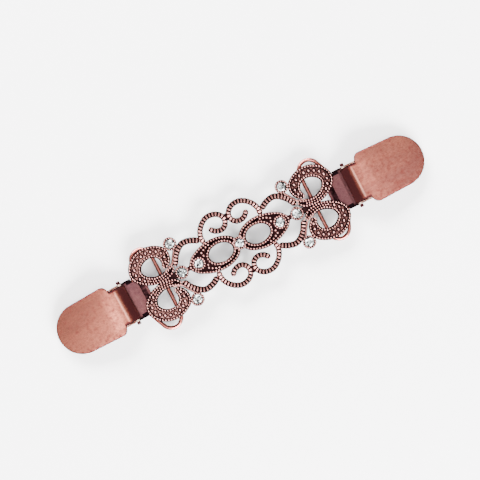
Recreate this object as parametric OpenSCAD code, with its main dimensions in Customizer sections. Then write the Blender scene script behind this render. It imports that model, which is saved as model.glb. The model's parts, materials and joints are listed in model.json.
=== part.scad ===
// Sweater clip: a cast openwork ornament, hung by two wire rings between two lever clips.
// Millimetres. X runs along the ornament, Z points up, and the table that it lies on is Z = 0.

/* [Casting] */
// Length of each eye, from the centre stone to the eye's tip
eye_l = 19.2; // [18:0.2:20.6]
// Half width of each eye
eye_w = 5.9; // [5.4:0.1:6.4]
// Length of the oval opening in each eye
eye_hole_l = 8.4; // [7:0.1:9]
// Width of the oval opening in each eye
eye_hole_w = 6; // [5.4:0.1:7]
// Distance from the centre stone to the middle of the oval opening
eye_hole_x = 7.1; // [6.8:0.1:7.5]
// Reach of each scroll curl along the ornament
scroll_l = 12; // [11:0.25:13]
// Height of each scroll curl above the ornament's middle line
scroll_w = 14; // [13:0.25:15]
// Height of each ribbed arch above the ornament's middle line
arch_w = 8.9; // [8.4:0.1:9.6]
// Half length of each end loop
loop_l = 7.8; // [7.2:0.1:8.4]
// Half width of each end loop
loop_w = 6.75; // [6.3:0.05:7.2]
// Distance from the stone on the middle line to the middle of the end loop
loop_gap = 8.9; // [8.4:0.1:9.4]
// Width of the scrolls' rope
rope_w = 1.85; // [1.5:0.05:2.1]
// Width of the smooth strap beside each arch
strap_w = 0.8; // [0.6:0.05:1.2]
// Thickness of the casting's plate
cast_t = 1.2; // [1:0.1:1.6]
// Height of the ropes' crests and of the rims above the plate
relief_h = 0.6; // [0.4:0.05:0.8]
// Width of the raised rims
rim_w = 0.75; // [0.5:0.05:0.9]
// Width of the shoulder on each side of a rope's crest
crest_shoulder = 0.35; // [0.2:0.05:0.5]

/* [Stones] */
// Girdle diameter of a stone
stone_d = 3.1; // [2.6:0.1:3.4]
// Diameter of a stone's table
table_d = 1.7; // [1.4:0.1:2]
// Height of a stone's crown
crown_h = 0.55; // [0.4:0.05:0.7]
// Thickness of a stone's girdle
girdle_h = 0.1; // [0.05:0.05:0.2]
// Diameter of the small flat under a stone
culet_d = 0.3; // [0.2:0.05:0.5]
// Depth of a stone below its girdle
pavilion_h = 1.1; // [0.9:0.05:1.3]
// Wall of a stone's cup
cup_wall = 0.6; // [0.4:0.05:0.8]
// Height of a cup above the casting's plate
cup_h = 0.9; // [0.7:0.05:1.2]
// Distance from an eye's tip back to its stone
eye_stone_inset = 3.6; // [3.4:0.1:4.2]
// Distance from an eye's tip on to the stone on the middle line
axial_stone_gap = 2.9; // [2.6:0.1:3.2]
// Distance from an end loop's middle back to the corner stone
corner_back = 9.5; // [9.1:0.1:9.9]
// Distance from an end loop's middle across to the corner stone
corner_up = 3.95; // [3.6:0.05:4.3]

/* [Rings] */
// Diameter of the rings' wire
wire_d = 1.3; // [1.1:0.05:1.5]
// Distance between a ring's long bar and its short bar
ring_l = 9.8; // [9.2:0.1:11]
// Straight length of a ring's long bar
long_bar = 22.2; // [20:0.2:24]
// Radius of the round end of the long bar, to the wire's middle
end_r = 3.65; // [3.3:0.05:4]
// Radius of the corners of the short bar, to the wire's middle
corner_r = 1.2; // [1:0.05:1.5]
// Slant of a ring's sides away from its bars
side_slant = 22.5; // [20:0.5:26]
// How far the left ring has slid along its lug
left_slide = -0.9; // [-1.5:0.05:1.5]
// How far the right ring has slid along its lug
right_slide = 0.15; // [-1.5:0.05:1.5]
// Length of the lug that holds a ring's long bar
lug_l = 4.8; // [4:0.1:5.4]
// Distance from an end loop's middle back to the lug's bore
lug_back = 2; // [1.6:0.1:2.4]

/* [Clip bodies] */
// Turn of the left clip in the ornament's plane
left_turn = 1.4; // [-6:0.1:6]
// Turn of the right clip in the ornament's plane
right_turn = -0.2; // [-6:0.1:6]
// Thickness of the stamped sheet
sheet_t = 0.6; // [0.55:0.05:0.8]
// Thickness of the sheet where it is curled into the knuckle
knuckle_t = 0.55; // [0.4:0.05:0.55]
// Thickness of the jaw plate
jaw_t = 0.7; // [0.6:0.05:0.9]
// Width over the ears
ears_w = 14.35; // [13.8:0.05:15.2]
// Width of the slotted end plate
end_w = 11.2; // [10.6:0.1:11.4]
// Reach of the slotted end plate from the ring's bar towards the ornament
end_reach = 4.1; // [3.6:0.1:4.4]
// Width of the bar that closes the slot
slot_bar = 0.9; // [0.7:0.1:1.4]
// Distance from the ring's bar to the slot
slot_gap = 1.5; // [1.4:0.1:1.8]
// Reach of the knuckle's tail under the slot, from the ring's bar
tail_reach = 3.6; // [3.2:0.1:3.8]
// Radius of the corners of the slotted end plate
end_corner_r = 1.2; // [0.8:0.1:1.6]
// Where the slotted end plate steps down to the jaw plate, from the ring's bar
step_u = 2.2; // [2.1:0.05:2.25]
// Length of the knuckle round the ring's bar, of its tail and of the slot above the tail
knuckle_l = 9; // [8:0.1:9.4]
// Distance from the ring's bar to the hinge pin
pin_u = 4.5; // [4.3:0.1:5]
// Height of the hinge pin's middle
pin_z = 2.5; // [2.45:0.05:2.7]
// Diameter of the hinge pin
pin_d = 1.3; // [1.1:0.05:1.4]
// How far the hinge pin stands out of each ear
pin_out = 1.1; // [0.6:0.1:1.6]
// Metal of an ear round the hinge pin
ear_rim = 0.95; // [0.8:0.05:1.1]
// Start of the ears and the jaw plate, from the ring's bar
ear_start = 1.7; // [1.65:0.05:1.9]
// Start of the folds beside the end plate that carry the ears, from the ring's bar
fold_start = 0.3; // [0.25:0.05:0.6]
// End of the ears, from the ring's bar
ear_end = 8.85; // [8:0.1:9.5]
// Height of the ears' ends above the table
ear_low = 1.4; // [1:0.1:1.8]
// Length of the jaw plate, from the ring's bar
jaw_l = 24; // [20:0.5:25]
// Radius of the jaw plate's corners
jaw_corner_r = 4; // [2:0.5:6]

/* [Levers] */
// Width of the lever's neck
neck_w = 12.4; // [11.6:0.1:12.4]
// Width of the paddle at its shoulder
paddle_w = 18.4; // [17.8:0.1:19.2]
// Diameter of the paddle's round tip
tip_d = 17.8; // [16.6:0.1:17.8]
// Distance from the hinge pin to the paddle's tip
paddle_reach = 26.9; // [25:0.1:28]
// Distance from the hinge pin to the paddle's shoulder
shoulder_reach = 4.4; // [4.2:0.1:5]
// Radius of the shoulder's corners
shoulder_r = 2.3; // [1.6:0.1:2.6]
// Thickness of the lever's sheet
lever_t = 0.75; // [0.65:0.05:0.8]
// Slope of the steep face above the hinge pin
face_slope = 45; // [42:1:48]
// Distance from the hinge pin to the crease at the top of the steep face
crease_reach = 2; // [1.8:0.05:2.2]
// Slope of the paddle just past the crease
paddle_slope = 6; // [5:0.5:8]
// How much steeper the paddle is at its tip
paddle_crown = 8; // [4:1:10]
// Radius of the bend at the crease
crease_r = 0.9; // [0.6:0.1:1.2]
// Depth of the paddle's turned-down rim
paddle_rim = 1.3; // [1:0.1:1.5]
// Reach of the biting lip beyond the curl
lip_h = 0.25; // [0.1:0.05:0.25]
// Thickness of the biting lip
lip_t = 0.6; // [0.4:0.05:0.8]
// Place of the biting lip round the hinge pin, below the paddle's side
lip_angle = 80; // [70:5:85]

/* [Fits] */
// Radial clearance of a bar or pin that turns in its hole
running_fit = 0.05; // [0.03:0.01:0.08]
// Radial clearance of the hinge pin in the ears that hold it
pin_fit = 0.02; // [0.01:0.01:0.03]
// Gap between the casting's back and the clips' end plates
lift_gap = 0.3; // [0.25:0.05:0.5]
// Gap between a stone and its cup
stone_gap = 0.05; // [0.03:0.01:0.08]

/* [Hidden] */
$fn = 48;

LEFT = -1;
RIGHT = 1;
// Steps of a curve between two of its chosen points
curve_steps = 2;
// Sides of the round end of a rope
end_sides = 10;
// Sides of the oval opening in each eye
oval_sides = 26;
// Sides of a stone's girdle, and of its table
girdle_sides = 16;
table_sides = 8;
// Flat steps of the lever's bend, and of its paddle
bend_steps = 6;
paddle_steps = 8;
// Centre of a ring's round end, where its slanting side starts and ends, and the corner's centre
end_centre = [end_r, long_bar / 2];
side_from = end_centre + end_r * [cos(side_slant), sin(side_slant)];
side_l = (ring_l - corner_r * (1 - cos(side_slant)) - side_from[0]) / sin(side_slant);
corner_centre = side_from + side_l * [sin(side_slant), -cos(side_slant)]
    - corner_r * [cos(side_slant), sin(side_slant)];
// A bend's wire is this much thicker than the straight wire, which runs this far into it
bend_swell = 0.02;
bend_overlap = 0.12;
// How far an end loop reaches over the middle line, and an arch into its end loop
loop_over = 0.1;
arch_into = 0.2;
// Length of the bridge between two scrolls, as a share of the rope's width
join_share = 1.4;
// How far one cut or layer runs past another
past = 0.2;
// Growth that joins the pieces of an outline into one
weld = 0.001;

wire_r = wire_d / 2;
pin_r = pin_d / 2;
bar_hole_r = wire_r + running_fit;
knuckle_r = bar_hole_r + knuckle_t;
lug_half = bar_hole_r + sheet_t;
bar_z = lug_half;
end_plate_z = bar_z + bar_hole_r + running_fit;
cast_z = end_plate_z + sheet_t + lift_gap;
plate_top = cast_z + cast_t;
cup_top = plate_top + cup_h;

axial_x = eye_l + axial_stone_gap;
loop_x = axial_x + loop_gap;
loop_y = loop_w - loop_over;
arch_l = loop_x - loop_l + arch_into;
lug_x = loop_x - lug_back;
corner_x = loop_x - corner_back;
corner_y = loop_y + corner_up;
short_bar_x = lug_x + ring_l;
seat_r = stone_d / 2 + stone_gap;
cup_r = seat_r + cup_wall;
girdle_z = cup_top - crown_h / 2;

curl_r = pin_r + running_fit + lever_t;
paddle_r = paddle_w / 2;

// Middle of each stone, in the order of the stones' names
STONES = [
    [0, 0],
    [eye_l - eye_stone_inset, 0], [eye_stone_inset - eye_l, 0],
    [axial_x, 0], [-axial_x, 0],
    [corner_x, corner_y], [-corner_x, corner_y], [-corner_x, -corner_y], [corner_x, -corner_y]
];

// Scroll's middle line, as shares of scroll_l and scroll_w, from the eye to the curl's end
SCROLL = [
    [0.90, 0.38], [0.92, 0.53], [0.86, 0.69], [0.74, 0.82], [0.58, 0.91], [0.42, 0.935],
    [0.25, 0.90], [0.125, 0.81], [0.08, 0.70], [0.11, 0.59], [0.20, 0.515], [0.325, 0.49],
    [0.45, 0.52], [0.54, 0.59], [0.58, 0.665]
];
// Height of the join between two scrolls, as a share of scroll_w
JOIN = 0.70;
// Eye's upper edge, as shares of eye_l and eye_w, from the tip to the centre stone
EYE = [
    [1, 0], [0.97, 0.27], [0.885, 0.56], [0.78, 0.76], [0.68, 0.90], [0.57, 0.975],
    [0.46, 1], [0.365, 0.98], [0.26, 0.90], [0.16, 0.76], [0.09, 0.52]
];
// Arch's middle line, as shares of arch_l and arch_w, from the scroll to the end loop
ARCH = [
    [0.505, 0.75], [0.54, 0.83], [0.60, 0.92], [0.665, 0.98], [0.735, 1], [0.80, 0.945],
    [0.87, 0.80], [0.925, 0.63], [0.96, 0.47], [0.99, 0.33]
];
// End loop's outer edge, as shares of loop_l and loop_w from its middle
LOOP = [
    [-0.90, -0.84], [-0.62, -1], [-0.19, -1.03], [0.18, -1], [0.46, -0.81], [0.76, -0.56],
    [0.94, -0.26], [1, 0.04], [0.90, 0.44], [0.67, 0.75], [0.33, 0.95], [-0.05, 1],
    [-0.46, 0.90], [-0.82, 0.67], [-0.99, 0.38], [-0.99, 0.05], [-0.86, -0.24], [-0.91, -0.54]
];
// End loop's opening, as shares of loop_l and loop_w from its middle
LOOP_HOLE = [
    [-0.36, -0.57], [-0.01, -0.58], [0.26, -0.44], [0.41, -0.20], [0.42, 0.05], [0.28, 0.27],
    [0.03, 0.38], [-0.23, 0.36], [-0.42, 0.21], [-0.51, -0.02], [-0.47, -0.27]
];
// Smooth strap from the corner stone to the loop's opening, as shares from the loop's middle
STRAP = [
    [-1.29, 0.30], [-1.17, 0.08], [-1.04, -0.15], [-0.92, -0.36], [-0.73, -0.48], [-0.40, -0.56]
];

// Table of shares turned into places
function scaled(table, l, w) = [for (p = table) [p[0] * l, p[1] * w]];
// The other half of an edge that begins on the middle line
function mirrored(p) = [for (i = [len(p) - 1:-1:1]) [p[i][0], -p[i][1]]];
// Place between p1 and p2 on a smooth curve through four points
function blend(p0, p1, p2, p3, t) =
    (2 * p1 + (p2 - p0) * t + (2 * p0 - 5 * p1 + 4 * p2 - p3) * t * t
        + (3 * p1 - p0 - 3 * p2 + p3) * t * t * t) / 2;
function open_curve(p) = let (m = len(p) - 1) [
    for (i = [0:m - 1], k = [0:curve_steps - 1])
        blend(p[max(i - 1, 0)], p[i], p[i + 1], p[min(i + 2, m)], k / curve_steps),
    p[m]
];
function closed_curve(p) = let (m = len(p)) [
    for (i = [0:m - 1], k = [0:curve_steps - 1])
        blend(p[(i + m - 1) % m], p[i], p[(i + 1) % m], p[(i + 2) % m], k / curve_steps)
];
// Unit vector to the left of a line of points, at its point i
function leftward(p, i) =
    let (d = p[min(i + 1, len(p) - 1)] - p[max(i - 1, 0)]) [-d[1], d[0]] / norm(d);
// Point on a circle round c
function around(c, r, angle) = c + r * [cos(angle), sin(angle)];
function sum(v, i = 0) = i < len(v) ? v[i] + sum(v, i + 1) : 0;

// Flat strip along a line of points, from `left` on its left to `right` on its right
module strip(p, left, right) {
    count = len(p);
    polygon(concat(
        [for (i = [0:count - 1]) p[i] + leftward(p, i) * left],
        [for (i = [count - 1:-1:0]) p[i] - leftward(p, i) * right]
    ));
}

// Strip of width w with round ends
module rope(p, w) {
    strip(p, w / 2, w / 2);
    for (end = [p[0], p[len(p) - 1]]) translate(end) circle(d = w, $fn = end_sides);
}

module in_four_quarters() {
    for (mx = [0, 1], my = [0, 1]) mirror([mx, 0, 0]) mirror([0, my, 0]) children();
}

module on_two_sides() {
    for (mx = [0, 1]) mirror([mx, 0, 0]) children();
}

// Rim inside an outline
module rim_in() {
    difference() {
        children();
        offset(delta = -rim_w) children();
    }
}

// Rim round an opening
module rim_round() {
    difference() {
        offset(delta = rim_w) children();
        children();
    }
}

scroll_line = open_curve(scaled(SCROLL, scroll_l, scroll_w));
arch_line = open_curve(scaled(ARCH, arch_l, arch_w));
eye_edge = let (upper = scaled(EYE, eye_l, eye_w)) closed_curve(concat(upper, mirrored(upper)));
loop_edge = closed_curve(scaled(LOOP, loop_l, loop_w));
loop_hole_edge = closed_curve(scaled(LOOP_HOLE, loop_l, loop_w));
strap_line = open_curve(scaled(STRAP, loop_l, loop_w));

module eye_shape() polygon(eye_edge);

module eye_hole() {
    translate([eye_hole_x, 0]) resize([eye_hole_l, eye_hole_w]) circle(d = eye_hole_l, $fn = oval_sides);
}

module loop_shape() translate([loop_x, loop_y]) polygon(loop_edge);

module loop_hole() translate([loop_x, loop_y]) polygon(loop_hole_edge);

// Short bridge between the two scrolls of a pair
module scroll_join() {
    translate([0, scroll_w * JOIN]) square([rope_w, rope_w * join_share], center = true);
}

// The openwork plate, seen from above
module openwork() {
    offset(delta = weld) difference() {
        union() {
            on_two_sides() eye_shape();
            in_four_quarters() {
                rope(scroll_line, rope_w);
                rope(arch_line, rope_w);
                loop_shape();
                translate([loop_x, loop_y]) rope(strap_line, strap_w);
                scroll_join();
            }
            on_two_sides() translate([(eye_l + axial_x - cup_r) / 2, 0])
                circle(d = rope_w, $fn = girdle_sides);
        }
        on_two_sides() eye_hole();
        in_four_quarters() loop_hole();
    }
}

// Crests and rims that stand on the plate, seen from above
module relief() {
    crest = rope_w / 2 - crest_shoulder;
    offset(delta = weld) {
        in_four_quarters() {
            strip(scroll_line, crest, crest);
            strip(arch_line, crest, crest);
            rim_in() loop_shape();
            rim_round() loop_hole();
        }
        on_two_sides() {
            rim_in() eye_shape();
            rim_round() eye_hole();
        }
    }
}

// Lug on the casting's back
module lug() {
    translate([-lug_half, -lug_l / 2, 0]) cube([2 * lug_half, lug_l, cast_z + cast_t / 2]);
}

// Bore of length l for a ring's bar
module bar_bore(l) {
    translate([0, 0, bar_z]) rotate([90, 0, 0]) cylinder(r = bar_hole_r, h = l + 2 * past, center = true);
}

module cups() {
    for (place = STONES) translate([place[0], place[1], cast_z]) cylinder(r = cup_r, h = cup_top - cast_z);
}

module cup_seats() {
    for (place = STONES) translate([place[0], place[1], girdle_z - pavilion_h - stone_gap])
        cylinder(r = seat_r, h = pavilion_h + crown_h);
}

module filigree() {
    color("#9c5f52") difference() {
        union() {
            translate([0, 0, cast_z]) linear_extrude(cast_t) openwork();
            translate([0, 0, plate_top - past]) linear_extrude(relief_h + past) relief();
            cups();
            for (side = [LEFT, RIGHT]) translate([side * lug_x, 0, 0]) lug();
        }
        cup_seats();
        for (side = [LEFT, RIGHT]) translate([side * lug_x, 0, 0]) bar_bore(lug_l);
    }
}

// Round cut stone: a table and crown facets above the girdle, and a pavilion below it
module stone(place) {
    color("#dfe8e4") translate([place[0], place[1], girdle_z]) hull() {
        translate([0, 0, crown_h - girdle_h]) cylinder(d = table_d, h = girdle_h, $fn = table_sides);
        cylinder(d = stone_d, h = girdle_h, $fn = girdle_sides);
        translate([0, 0, -pavilion_h]) cylinder(d = culet_d, h = girdle_h, $fn = table_sides);
    }
}

// Puts a piece that points outwards along X at one end of the ornament, x from its middle
module at_end(side, x) {
    slide = side == LEFT ? left_slide : right_slide;
    translate([side * x, slide, 0]) rotate([0, 0, side == LEFT ? 180 : 0]) children();
}

// Turns a clip's piece about the middle of the ring's short bar
module turned(side) {
    rotate([0, 0, side == LEFT ? left_turn : right_turn]) children();
}

// Straight bar of a ring, of length l, x from its long bar
module bar(x, l) {
    translate([x, 0, bar_z]) rotate([90, 0, 0]) cylinder(r = wire_r, h = l, center = true);
}

// Straight side of a ring, of length l, from a point on at an angle
module side_wire(from, angle, l) {
    translate([from[0], from[1], bar_z]) rotate([0, 0, angle]) rotate([0, 90, 0]) cylinder(r = wire_r, h = l);
}

// Bent wire round a point, from one angle to another, a hair thicker than the straight wire
module bent_wire(centre, r, from, to) {
    translate([centre[0], centre[1], bar_z]) rotate([0, 0, from])
        rotate_extrude(angle = to - from) translate([r, 0]) circle(r = wire_r + bend_swell);
}

// Half a ring without its bars: round the end, down the slanting side and round the corner
module half_ring() {
    into = bend_overlap * [sin(side_slant), -cos(side_slant)];
    bent_wire(end_centre, end_r, side_slant, 180);
    side_wire(side_from - into, side_slant - 90, side_l + 2 * bend_overlap);
    bent_wire(corner_centre, corner_r, 0, side_slant);
}

module ring(side) {
    color("#d79a86") at_end(side, lug_x) {
        bar(0, long_bar + 2 * bend_overlap);
        bar(ring_l, 2 * (corner_centre[1] + bend_overlap));
        half_ring();
        mirror([0, 1, 0]) half_ring();
    }
}

// Plate with round corners, from x = from to x = to, at height z
module round_plate(from, to, w, t, z, corner) {
    translate([0, 0, z]) linear_extrude(t) translate([from + corner, -w / 2 + corner])
        offset(r = corner) square([to - from - 2 * corner, w - 2 * corner]);
}

// End plate with its slot, the folds that carry the ears, and the step down to the jaw plate
module end_plate() {
    difference() {
        round_plate(-end_reach, step_u, end_w, sheet_t, end_plate_z, end_corner_r);
        translate([slot_bar - end_reach, -knuckle_l / 2, end_plate_z - past])
            cube([end_reach - slot_bar - slot_gap, knuckle_l, sheet_t + 2 * past]);
    }
    translate([fold_start, -ears_w / 2, end_plate_z]) cube([step_u - fold_start, ears_w, sheet_t]);
    translate([step_u - sheet_t, -end_w / 2 + end_corner_r, 0])
        cube([sheet_t, end_w - 2 * end_corner_r, end_plate_z + sheet_t / 2]);
}

// Hidden jaw under the paddle, square between the ears and round at its end
module jaw_plate() {
    round_plate(ear_end - jaw_corner_r, jaw_l, ears_w, jaw_t, 0, jaw_corner_r);
    translate([ear_start, -ears_w / 2, 0]) cube([ear_end - ear_start, ears_w, jaw_t]);
}

// One ear, upright on the jaw plate's edge
module ear() {
    translate([0, sheet_t - ears_w / 2, 0]) rotate([90, 0, 0]) linear_extrude(sheet_t) hull() {
        translate([ear_start, 0]) square([ear_end - ear_start, ear_low]);
        translate([ear_start, end_plate_z]) square(sheet_t);
        translate([pin_u, pin_z]) circle(r = pin_r + ear_rim);
    }
}

// Sheet curled round the ring's bar, with its tail flat under the slot
module knuckle() {
    translate([0, 0, bar_z]) rotate([90, 0, 0]) cylinder(r = knuckle_r, h = knuckle_l, center = true);
    translate([-tail_reach, -knuckle_l / 2, bar_z - knuckle_r + past])
        cube([tail_reach - knuckle_r / 2, knuckle_l, knuckle_t]);
}

module clip_body(side) {
    color("#96655f") at_end(side, short_bar_x) difference() {
        union() {
            turned(side) {
                end_plate();
                jaw_plate();
                ear();
                mirror([0, 1, 0]) ear();
            }
            knuckle();
        }
        bar_bore(knuckle_l);
        turned(side) translate([pin_u, 0, pin_z]) rotate([90, 0, 0])
            cylinder(r = pin_r + pin_fit, h = ears_w + 2 * past, center = true);
    }
}

module hinge_pin(side) {
    color("#5a3a3c") at_end(side, short_bar_x) turned(side) translate([pin_u, 0, pin_z])
        rotate([90, 0, 0]) cylinder(r = pin_r, h = ears_w + 2 * pin_out, center = true);
}

// Middle line of the lever's sheet, seen from the side: steep face, bend at the crease, paddle
lever_line = let (
    start = (curl_r - lever_t / 2) * [-sin(face_slope), cos(face_slope)],
    bend = face_slope + paddle_slope,
    face_l = (crease_reach - start[0]) / cos(face_slope) - crease_r * tan(bend / 2),
    face_end = start + face_l * [cos(face_slope), sin(face_slope)],
    bend_centre = face_end + crease_r * [sin(face_slope), -cos(face_slope)],
    bend_line = [for (k = [1:bend_steps])
        around(bend_centre, crease_r, 90 + face_slope - bend * k / bend_steps)],
    paddle_start = bend_line[bend_steps - 1],
    slopes = [for (k = [0.5:1:paddle_steps]) paddle_slope + paddle_crown * k / paddle_steps],
    step_l = (paddle_reach - paddle_start[0]) / sum([for (a = slopes) cos(a)]),
    paddle_line = [for (k = [0:paddle_steps - 1]) paddle_start + step_l * [
        sum([for (i = [0:k]) cos(slopes[i])]), -sum([for (i = [0:k]) sin(slopes[i])])]]
) concat([start, face_end], bend_line, paddle_line);

// Extrudes a side view, drawn round the hinge pin, across the lever
module across(w) {
    rotate([90, 0, 0]) linear_extrude(w, center = true) children();
}

// Paddle seen from above
module paddle_shape() {
    hull() {
        for (y = [-1, 1]) translate([shoulder_reach + shoulder_r, y * (paddle_r - shoulder_r)])
            circle(r = shoulder_r);
        translate([paddle_reach - tip_d / 2, 0]) circle(d = tip_d);
    }
}

module neck_shape() {
    translate([-curl_r, -neck_w / 2]) square([curl_r + shoulder_reach + shoulder_r, neck_w]);
}

// Upright prism of a shape seen from above, tall enough for the whole lever
module upright() {
    translate([0, 0, -paddle_reach]) linear_extrude(2 * paddle_reach) children();
}

module lever(side) {
    color("#c07c6b") at_end(side, short_bar_x) turned(side) translate([pin_u, 0, pin_z]) {
        intersection() {
            across(paddle_w + past) strip(lever_line, lever_t / 2, lever_t / 2);
            upright() {
                neck_shape();
                paddle_shape();
            }
        }
        intersection() {
            across(paddle_w + past) strip(lever_line, lever_t / 4, paddle_rim - lever_t / 2);
            upright() difference() {
                paddle_shape();
                offset(delta = -lever_t) paddle_shape();
                neck_shape();
            }
        }
        difference() {
            union() {
                rotate([90, 0, 0]) cylinder(r = curl_r, h = neck_w, center = true);
                across(neck_w) rotate(-lip_angle) translate([curl_r - past, -lip_t / 2])
                    square([lip_h + past, lip_t]);
            }
            rotate([90, 0, 0]) cylinder(r = pin_r + running_fit, h = neck_w + 2 * past, center = true);
        }
    }
}

filigree();
stone(STONES[0]);  // stone_1
stone(STONES[1]);  // stone_2
stone(STONES[2]);  // stone_3
stone(STONES[3]);  // stone_4
stone(STONES[4]);  // stone_5
stone(STONES[5]);  // stone_6
stone(STONES[6]);  // stone_7
stone(STONES[7]);  // stone_8
stone(STONES[8]);  // stone_9
ring(LEFT);  // ring_left
ring(RIGHT);  // ring_right
clip_body(LEFT);  // clip_body_left
clip_body(RIGHT);  // clip_body_right
hinge_pin(LEFT);  // hinge_pin_left
hinge_pin(RIGHT);  // hinge_pin_right
lever(LEFT);  // lever_left
lever(RIGHT);  // lever_right
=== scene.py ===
# %% [markdown]
# # A sweater clip in antique copper
# A sweater clip holds the two edges of a cardigan together. Its middle is a cast openwork
# ornament set with nine stones. Two wire rings hang it between two lever clips.
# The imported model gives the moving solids. This lesson dresses them: cast bands with milgrain
# beads, laddered ropes, beaded stone cups, crowned paddles, and the finishes of old copper.

# %% Load the frame
import json
import math
import bmesh
import bpy
import numpy as np
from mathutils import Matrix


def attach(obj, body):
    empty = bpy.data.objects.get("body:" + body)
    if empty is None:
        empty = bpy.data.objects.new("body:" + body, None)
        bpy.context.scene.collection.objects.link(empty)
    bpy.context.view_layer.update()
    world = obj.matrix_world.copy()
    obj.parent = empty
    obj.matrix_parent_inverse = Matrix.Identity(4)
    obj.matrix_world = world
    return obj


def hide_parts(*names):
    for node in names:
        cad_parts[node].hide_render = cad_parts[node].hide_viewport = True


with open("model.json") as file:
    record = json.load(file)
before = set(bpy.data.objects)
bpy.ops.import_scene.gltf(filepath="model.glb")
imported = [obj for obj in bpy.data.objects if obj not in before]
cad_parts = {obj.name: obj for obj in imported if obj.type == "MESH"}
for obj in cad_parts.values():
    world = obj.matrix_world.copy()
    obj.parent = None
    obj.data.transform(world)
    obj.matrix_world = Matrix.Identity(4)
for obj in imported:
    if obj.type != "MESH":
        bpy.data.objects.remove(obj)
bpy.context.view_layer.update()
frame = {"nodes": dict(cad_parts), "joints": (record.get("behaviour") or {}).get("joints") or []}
joints = {joint["name"]: joint for joint in frame["joints"]}
print("CAD nodes:", len(frame["nodes"]), "joints:", len(joints))

# %% [markdown]
# ## Curves, grids and pieces
# Every form here is a surface over a grid. One direction runs along a curve of the ornament, the other runs
# round a cross-section. Sculpting or a displaced plane could give the same look, but a grid keeps each bead
# and rib where the pattern needs it. All lengths are in millimetres and become metres when a piece is made.
# Each point also carries a patina value, from 0 on crests to 1 in dark recesses, which the copper material
# reads. On some parts the values paint shade instead, as noted where they are set, and values below 0 paint
# a highlight of pale bare metal on sheet.

# %% Smooth curves
MM = 0.001


def smooth_curve(points, closed=False, steps=12):
    """Cubic curve through the points: each span blends its four nearest points, and the slope at
    a point is half the step from the point before it to the point after it."""
    p = np.asarray(points, float)
    n = len(p)
    if closed:
        four = p[(np.arange(n)[:, None] + np.arange(-1, 3)) % n]
    else:
        longer = np.vstack([2 * p[0] - p[1], p, 2 * p[-1] - p[-2]])
        four = longer[np.arange(n - 1)[:, None] + np.arange(4)]
    t = np.arange(steps) / steps
    weights = 0.5 * np.stack([
        -t + 2 * t**2 - t**3, 2 - 5 * t**2 + 3 * t**3, t + 4 * t**2 - 3 * t**3, t**3 - t**2], 1)
    curve = np.einsum("tk,skd->std", weights, four).reshape(-1, p.shape[1])
    return curve if closed else np.vstack([curve, p[-1]])


def lengths_along(curve):
    """Distance of each point from the first, summed along the curve."""
    return np.concatenate([[0], np.cumsum(np.linalg.norm(np.diff(curve, axis=0), axis=1))])


def part_of(curve, start, end, count):
    """Points at equal distances on the stretch of a curve between two lengths along it."""
    s = lengths_along(curve)
    at = np.linspace(start, end, count)
    return np.stack([np.interp(at, s, curve[:, k]) for k in range(curve.shape[1])], 1)


def evenly(curve, count, closed=False):
    """The curve again, with `count` points at equal distances along it."""
    line = np.vstack([curve, curve[:1]]) if closed else curve
    return part_of(line, 0, lengths_along(line)[-1], count + closed)[:count]


def leftward(curve):
    """Unit vectors to the left of the curve: its direction at each point, turned by a quarter."""
    along = np.gradient(curve, axis=0)
    along /= np.linalg.norm(along, axis=1)[:, None]
    return np.stack([-along[:, 1], along[:, 0]], 1)


def smooth_step(low, high, x):
    """0 below low, 1 above high, and 3t^2 - 2t^3 of the share t between them. With low above high
    it falls instead."""
    t = np.clip((x - low) / (high - low), 0, 1)
    return t * t * (3 - 2 * t)


# %% Grids, shapes and pieces
def quads(rows, cols, rows_join=False, cols_join=False):
    """Corners of each face of a grid whose rows and columns may close on themselves."""
    r = np.arange(rows if rows_join else rows - 1)[:, None]
    c = np.arange(cols if cols_join else cols - 1)[None, :]
    r2, c2 = (r + 1) % rows, (c + 1) % cols
    corners = np.stack([r * cols + c, r * cols + c2, r2 * cols + c2, r2 * cols + c], -1)
    return corners.reshape(-1, 4)


def grid_shape(points, patina, rows_join=False, cols_join=False):
    """A shape from a rows x cols x 3 array of points and a patina value for each."""
    rows, cols = points.shape[:2]
    shade = np.broadcast_to(patina, (rows, cols)).reshape(-1)
    return points.reshape(-1, 3), quads(rows, cols, rows_join, cols_join), shade


def with_poles(points):
    """The grid with a first and a last row that shrink to the middle of the rows beside them, so
    that its ends are closed."""
    first = np.broadcast_to(points[0].mean(0), points[0].shape)[None]
    last = np.broadcast_to(points[-1].mean(0), points[-1].shape)[None]
    return np.concatenate([first, points, last])


def joined(shapes):
    """Several shapes as one."""
    starts = np.cumsum([0] + [len(shape[0]) for shape in shapes[:-1]])
    points = np.concatenate([shape[0] for shape in shapes])
    faces = np.concatenate([shape[1] + start for shape, start in zip(shapes, starts)])
    return points, faces, np.concatenate([shape[2] for shape in shapes])


def reflected(shape, sides):
    """Copies of a shape, one for each (x, y) pair of signs."""
    points, faces, shade = shape
    return joined([(points * [sx, sy, 1], faces, shade) for sx, sy in sides])


# Signs of x on the two sides, and signs of x and y for the four quarters and the two sides
RIGHT, LEFT = 1, -1
FOUR = [(1, 1), (-1, 1), (-1, -1), (1, -1)]
TWO = [(1, 1), (-1, 1)]


def in_scene(name, data):
    """An object at the origin, put into the scene."""
    made = bpy.data.objects.new(name, data)
    bpy.context.scene.collection.objects.link(made)
    return made


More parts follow.
